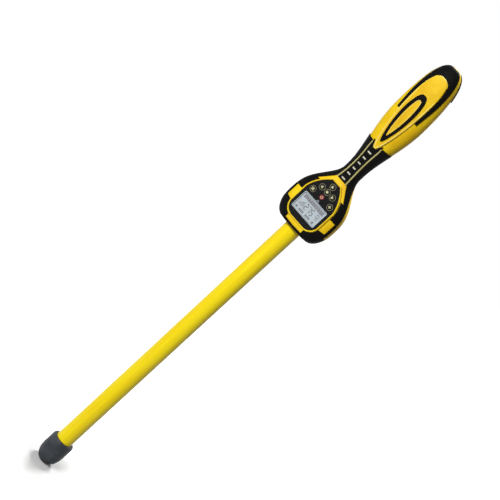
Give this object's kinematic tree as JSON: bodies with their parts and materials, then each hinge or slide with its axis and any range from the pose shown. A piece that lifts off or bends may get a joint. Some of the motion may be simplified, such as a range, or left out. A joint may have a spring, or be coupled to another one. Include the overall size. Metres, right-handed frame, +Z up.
{
  "type": "cable locator",
  "caption": "Wand-shaped cable locator: long tube with a rubber tip boot, display head with keys, waisted neck and an oval grip with a battery door behind.",
  "frame": {"origin": "where the tube's line passes through the middle of the hand grip", "axes": "+Z up along the tube towards the grip, -Y out of the display's face, +X to the right of someone who looks at the face"},
  "size_m": [0.092, 0.0684, 0.8539],
  "materials": {
    "tube_paint": "smooth satin gloss, bright lemon yellow fibreglass tube",
    "boot_rubber": "matt moulded rubber, charcoal",
    "shell_yellow": "fine moulded texture, golden yellow",
    "grip_rubber": "soft-touch matt overmould, black",
    "panel_black": "smooth satin, black",
    "lens_clear": "clear polished window",
    "display_grey": "pale grey-blue display",
    "key_black": "silicone key with a pale icon",
    "key_red": "silicone key, dusty red",
    "dark_plastic": "plain moulded plastic",
    "board_green": "circuit board laminate",
    "steel": "plated steel",
    "sensor_alloy": "soft magnetic alloy",
    "winding_copper": "enamelled copper winding",
    "lead_cover": "flexible cable jacket",
    "cell_wrap": "plain wrapped cell"
  },
  "bodies": {
    "wand": {"wand_tube": "tube_paint", "tip_boot": "boot_rubber", "tip_plug": "dark_plastic", "sensor_carrier": "board_green", "carrier_guides": "dark_plastic", "lower_sensor_core": "sensor_alloy", "lower_sensor_bobbin": "dark_plastic", "lower_sensor_winding": "winding_copper", "upper_sensor_core": "sensor_alloy", "upper_sensor_bobbin": "dark_plastic", "upper_sensor_winding": "winding_copper", "sensor_lead": "lead_cover", "tube_top_plug": "dark_plastic", "tube_screws": "steel", "tube_seal": "grip_rubber", "front_shell": "shell_yellow", "rear_shell": "shell_yellow", "case_screws": "steel", "face_bezel": "shell_yellow", "face_panel": "panel_black", "display_lens": "lens_clear", "display_glass": "display_grey", "display_frame": "dark_plastic", "backlight": "display_grey", "display_connector": "dark_plastic", "main_board": "board_green", "board_screws": "steel", "key_switches": "steel", "key_mat": "grip_rubber", "sounder": "dark_plastic", "sounder_gasket": "grip_rubber", "upper_left_bumper": "grip_rubber", "upper_right_bumper": "grip_rubber", "lower_left_bumper": "grip_rubber", "lower_right_bumper": "grip_rubber", "neck_strip": "grip_rubber", "neck_rungs": "shell_yellow", "left_neck_pad": "grip_rubber", "right_neck_pad": "grip_rubber", "grip_horseshoe": "grip_rubber", "grip_petal": "shell_yellow", "grip_ring": "grip_rubber", "rear_grip_pad": "grip_rubber", "battery_tray": "dark_plastic", "battery_cells": "cell_wrap", "battery_contacts": "steel", "battery_lead": "lead_cover", "door_pin": "steel"},
    "power_key": {"power_key": "key_red"},
    "top_key": {"top_key": "key_black"},
    "mid_left_key": {"mid_left_key": "key_black"},
    "centre_key": {"centre_key": "key_black"},
    "mid_right_key": {"mid_right_key": "key_black"},
    "low_left_key": {"low_left_key": "key_black"},
    "low_right_key": {"low_right_key": "key_black"},
    "battery_door": {"battery_door": "shell_yellow"},
    "door_latch": {"door_latch": "panel_black"}
  },
  "joints": [
    {"name": "power_key_press", "type": "slide", "parent": "wand", "child": "power_key", "axis": [0, 1, 0], "range_m": [0, 0.0008], "stiffness_N_per_m": 900},
    {"name": "top_key_press", "type": "slide", "parent": "wand", "child": "top_key", "axis": [0, 1, 0], "range_m": [0, 0.0008], "stiffness_N_per_m": 900},
    {"name": "mid_left_key_press", "type": "slide", "parent": "wand", "child": "mid_left_key", "axis": [0, 1, 0], "range_m": [0, 0.0008], "stiffness_N_per_m": 900},
    {"name": "centre_key_press", "type": "slide", "parent": "wand", "child": "centre_key", "axis": [0, 1, 0], "range_m": [0, 0.0008], "stiffness_N_per_m": 900},
    {"name": "mid_right_key_press", "type": "slide", "parent": "wand", "child": "mid_right_key", "axis": [0, 1, 0], "range_m": [0, 0.0008], "stiffness_N_per_m": 900},
    {"name": "low_left_key_press", "type": "slide", "parent": "wand", "child": "low_left_key", "axis": [0, 1, 0], "range_m": [0, 0.0008], "stiffness_N_per_m": 900},
    {"name": "low_right_key_press", "type": "slide", "parent": "wand", "child": "low_right_key", "axis": [0, 1, 0], "range_m": [0, 0.0008], "stiffness_N_per_m": 900},
    {"name": "battery_door_hinge", "type": "hinge", "parent": "wand", "child": "battery_door", "pos_m": [0, 0.00386, -0.03847], "axis": [-1, 0, 0], "range_deg": [0, 90]},
    {"name": "door_latch_slide", "type": "slide", "parent": "battery_door", "child": "door_latch", "axis": [0, 0.1564, -0.9877], "range_m": [0, 0.0025], "stiffness_N_per_m": 600}
  ]
}
